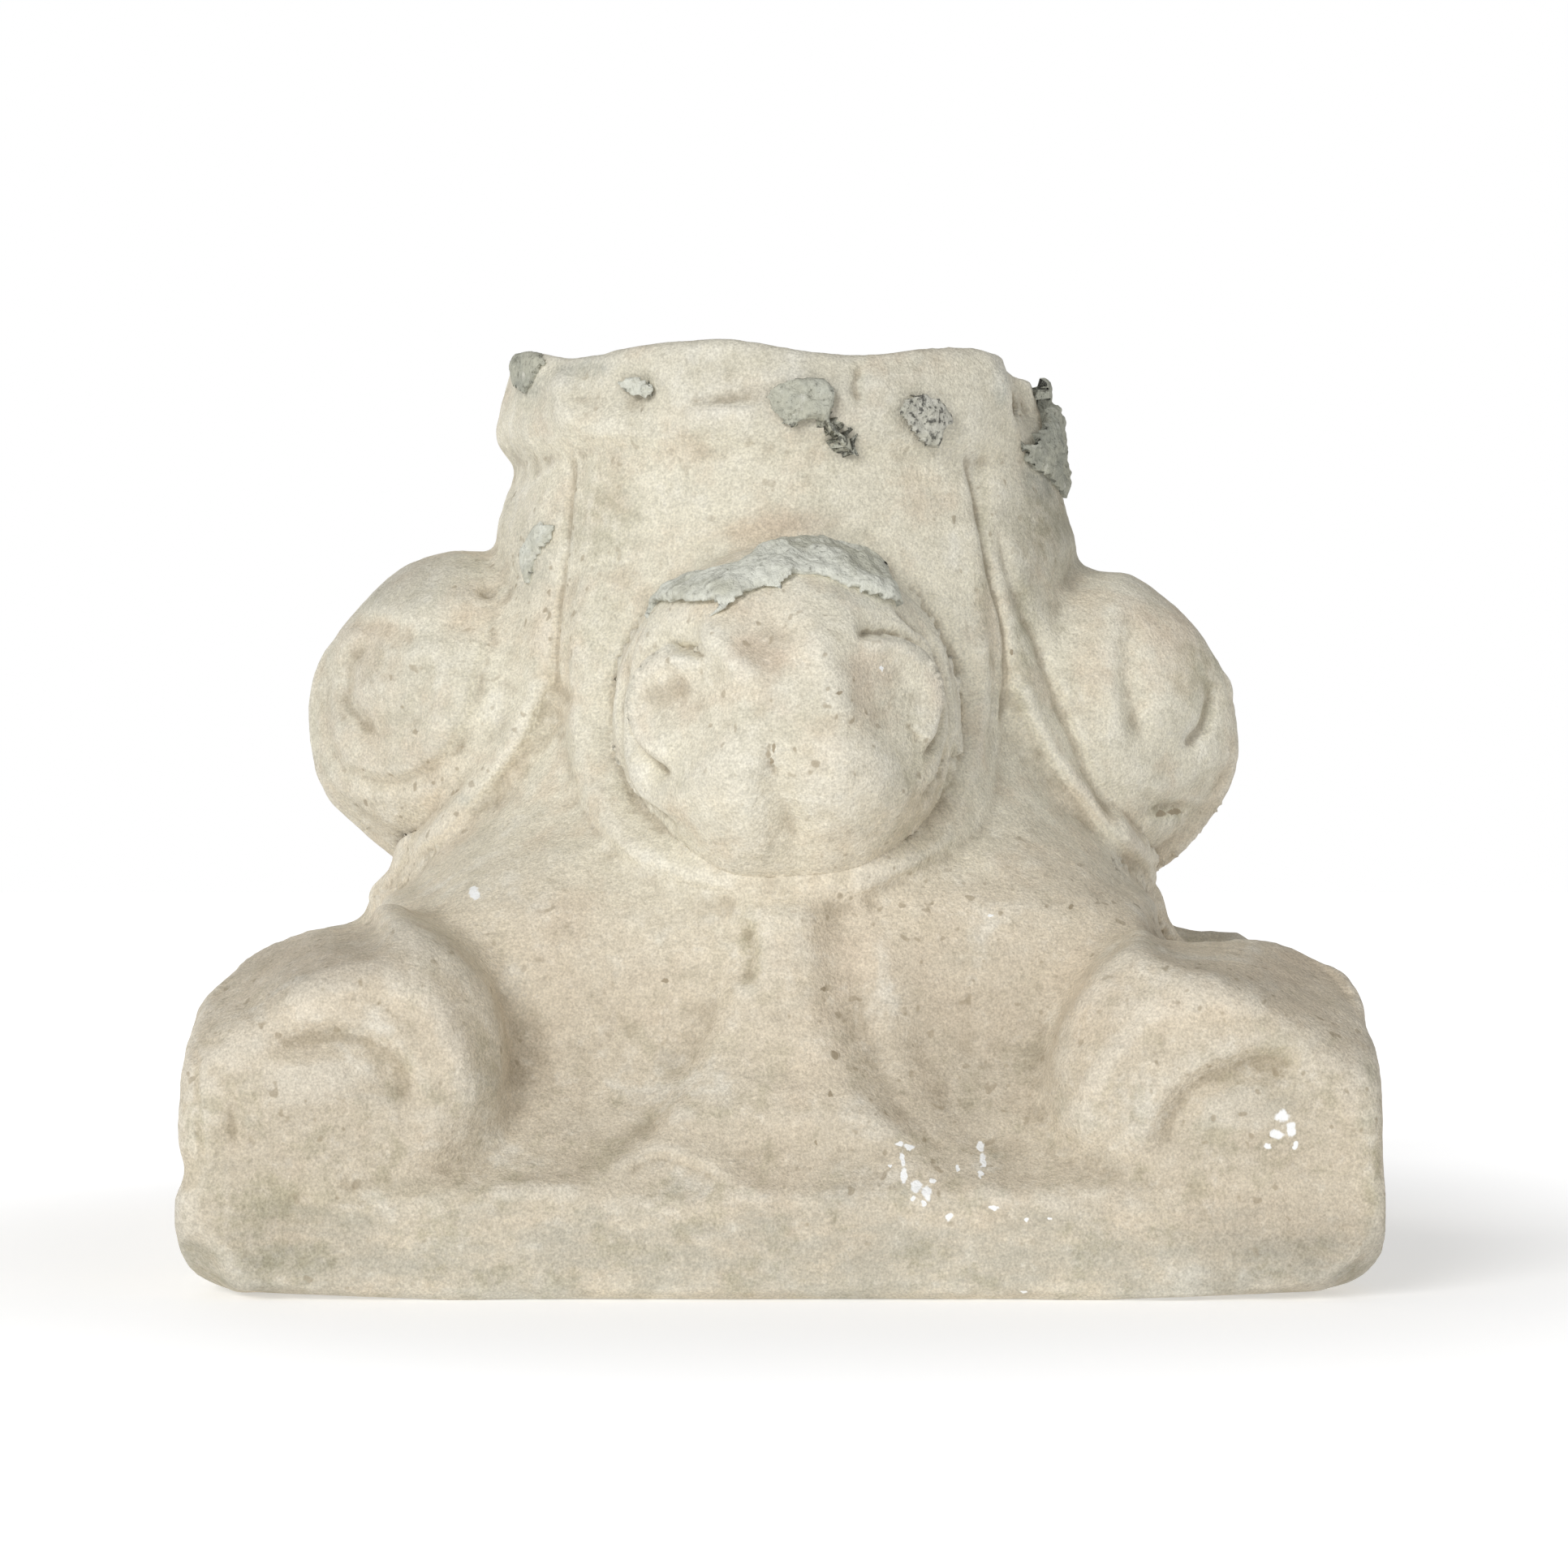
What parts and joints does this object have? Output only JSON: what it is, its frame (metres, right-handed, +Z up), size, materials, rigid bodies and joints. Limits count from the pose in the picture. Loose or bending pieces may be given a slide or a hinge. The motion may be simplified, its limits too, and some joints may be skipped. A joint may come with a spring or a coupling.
{
  "type": "leaf and volute column capital",
  "caption": "Weathered marble capital with plain leaves curling into balls, corner volutes and a square abacus, standing upside down, with old mortar on its broken collar.",
  "frame": {"origin": "middle of the abacus face that the capital stands on", "axes": "+Z up out of the abacus towards the broken collar, +X to the right of the front face, -Y towards the front"},
  "size_m": [0.3424, 0.3427, 0.2811],
  "materials": {
    "marble": "weathered, fine grained",
    "mortar": "rough, sandy"
  },
  "bodies": {
    "root": {"marble_capital": "marble", "mortar_collar_middle": "mortar", "mortar_collar_dark": "mortar", "mortar_collar_left": "mortar", "mortar_collar_knob": "mortar", "mortar_collar_right": "mortar", "mortar_crocket": "mortar", "mortar_leaf": "mortar"}
  },
  "joints": []
}
